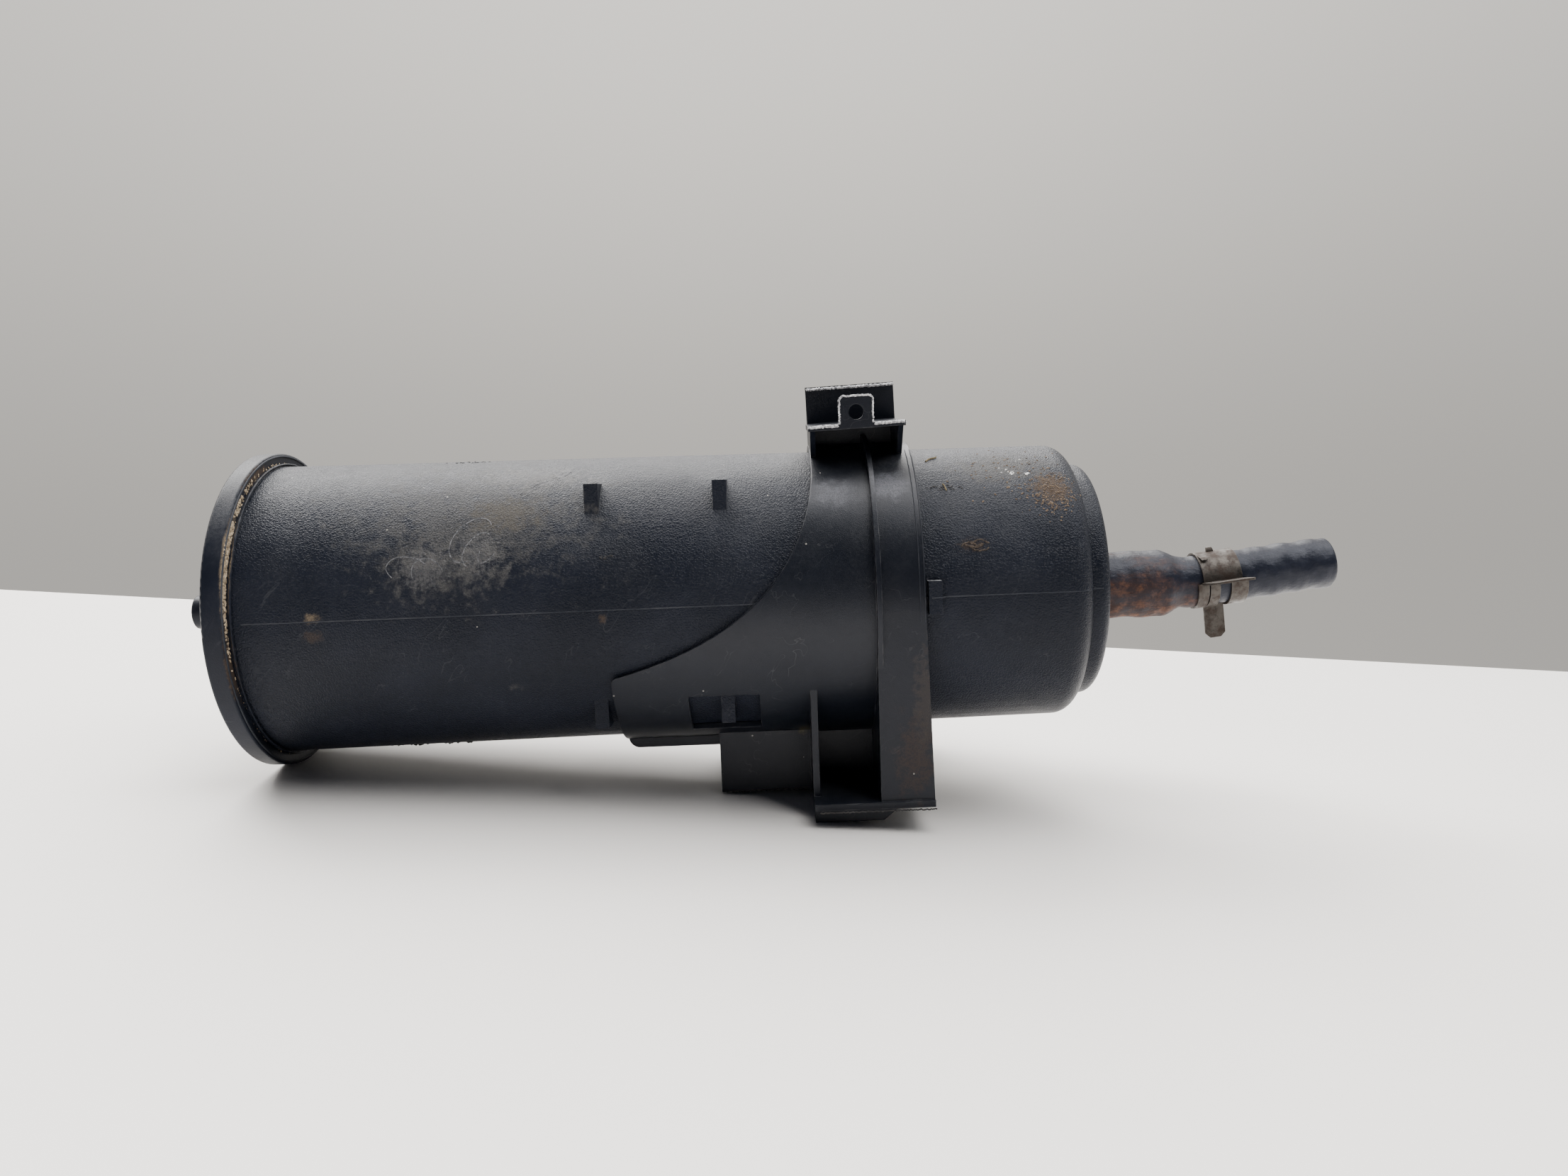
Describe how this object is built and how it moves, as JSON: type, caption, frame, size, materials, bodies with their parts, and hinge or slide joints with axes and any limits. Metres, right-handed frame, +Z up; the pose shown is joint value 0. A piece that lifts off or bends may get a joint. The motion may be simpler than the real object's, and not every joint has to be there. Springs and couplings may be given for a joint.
{
  "type": "fuel vapour charcoal canister",
  "caption": "Cylindrical vapour canister with a welded end cover, vent nipple, moulded saddle bracket and a clamped rubber hose on its port.",
  "frame": {"origin": "centre of the end cover's outer face, where the vent nipple's axis meets it", "axes": "+X along the drum's axis from the cover to the hose, +Z up through the clip pocket, +Y to the back"},
  "size_m": [0.4222, 0.115, 0.1482],
  "materials": {
    "drum_plastic": "coarse leather-like grain, worn and dusty",
    "bracket_plastic": "smooth satin",
    "inner_plastic": "smooth satin",
    "hose_rubber": "matt, rust stained",
    "clamp_steel": "dull, rusty",
    "spring_steel": "drawn wire",
    "filter_foam": "open-cell foam",
    "fleece": "needled fleece",
    "carbon": "packed granules"
  },
  "bodies": {
    "canister": {"canister_body": "drum_plastic", "end_cover": "drum_plastic", "mounting_bracket": "bracket_plastic", "vent_filter": "filter_foam", "carbon_bed": "carbon", "port_fleece": "fleece", "port_foam": "filter_foam", "port_grille": "inner_plastic", "pressure_spring_1": "spring_steel", "pressure_spring_2": "spring_steel", "pressure_spring_3": "spring_steel"},
    "pressure_pack": {"spring_plate": "inner_plastic", "cover_foam": "filter_foam", "cover_fleece": "fleece"},
    "hose": {"hose_stub": "hose_rubber"},
    "clamp": {"hose_clamp": "clamp_steel"}
  },
  "joints": [
    {"name": "plate_slide", "type": "slide", "parent": "canister", "child": "pressure_pack", "axis": [1, 0, 0], "range_m": [-0.006, 0], "stiffness_N_per_m": 3000, "springref_m": 0.006, "deforming": ["pressure_spring_1", "pressure_spring_2", "pressure_spring_3"]},
    {"name": "hose_pull", "type": "slide", "parent": "canister", "child": "hose", "axis": [1, 0, 0], "range_m": [0, 0.04]},
    {"name": "clamp_turn", "type": "hinge", "parent": "hose", "child": "clamp", "pos_m": [0.34993, 0, -0.00197], "axis": [0.9945, 0, 0.1045], "range_deg": [-90, 90]}
  ]
}
